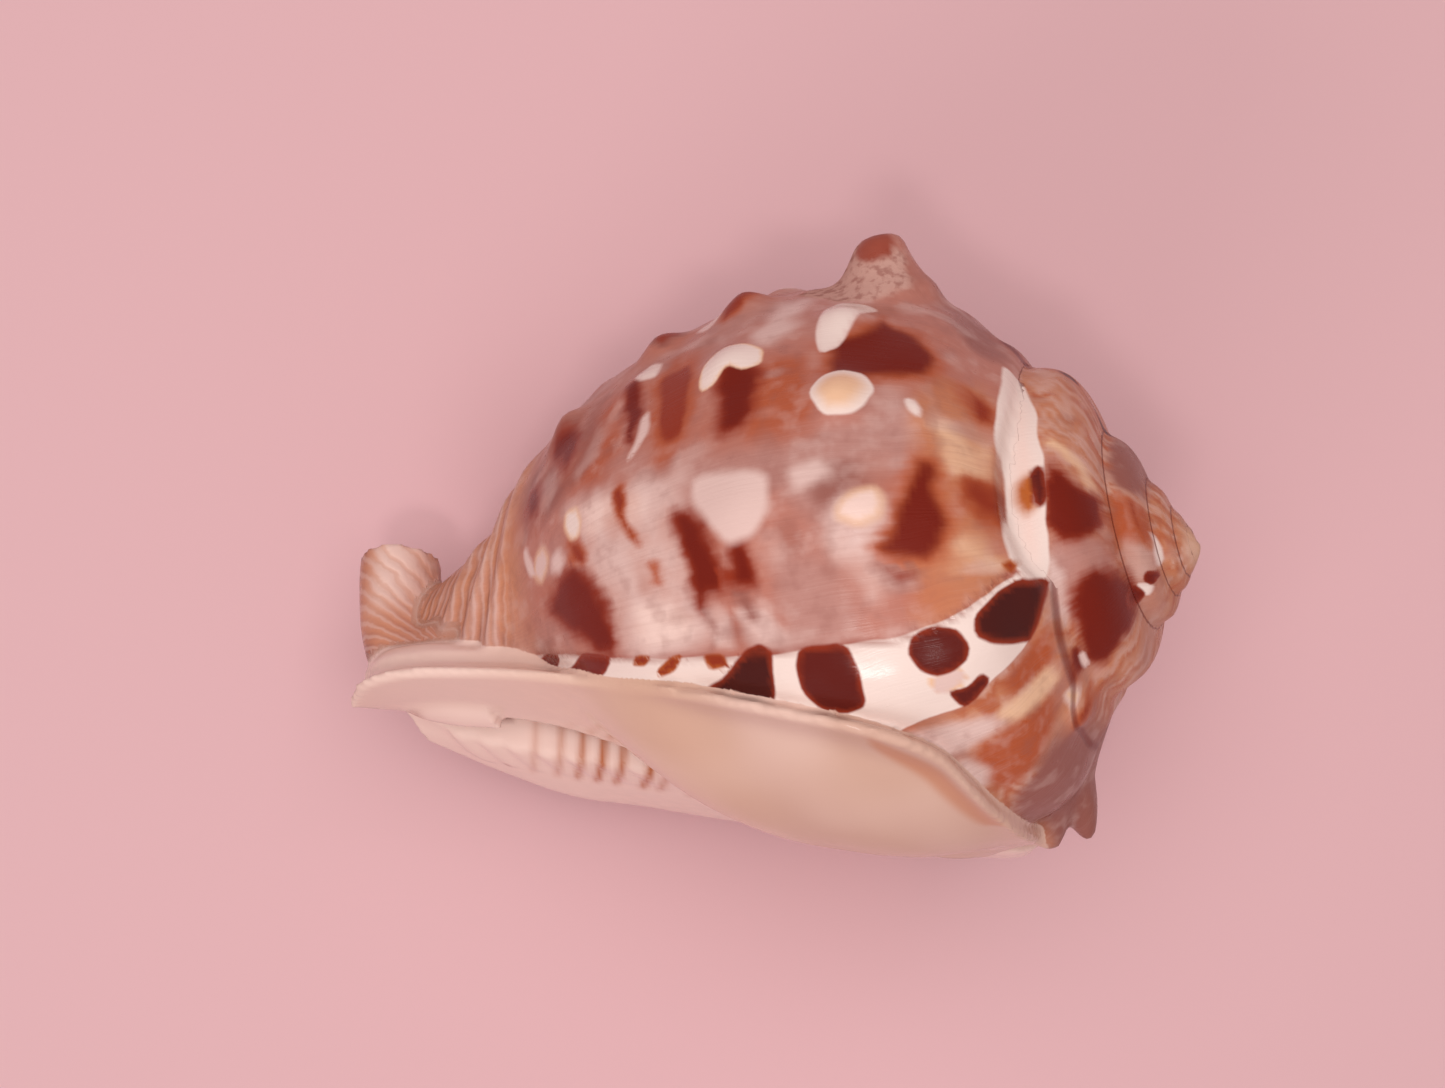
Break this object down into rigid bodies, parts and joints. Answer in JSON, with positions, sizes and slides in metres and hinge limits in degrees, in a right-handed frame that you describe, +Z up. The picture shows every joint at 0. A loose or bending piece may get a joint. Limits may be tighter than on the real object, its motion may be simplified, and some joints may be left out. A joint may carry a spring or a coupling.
{
  "type": "helmet shell",
  "caption": "Helmet shell of a large sea snail: low pointed spire, knobbed rounded body, broad flat shield beside a narrow toothed aperture and an upturned canal, as a display piece.",
  "frame": {"origin": "Bottom centre of the bounding box, on the surface that the shell lies on.", "axes": "+Z is up from the surface. +X runs along the shell towards the spire, as the right of the picture. +Y points from the aperture face towards the knobbed back, as the top of the picture."},
  "size_m": [0.1364, 0.104, 0.1083],
  "materials": {
    "shell": "glossy shell, orange-brown and white with dark blotches, cream on the shield and lip"
  },
  "bodies": {
    "root": {"helmet_shell": "shell"}
  },
  "joints": []
}
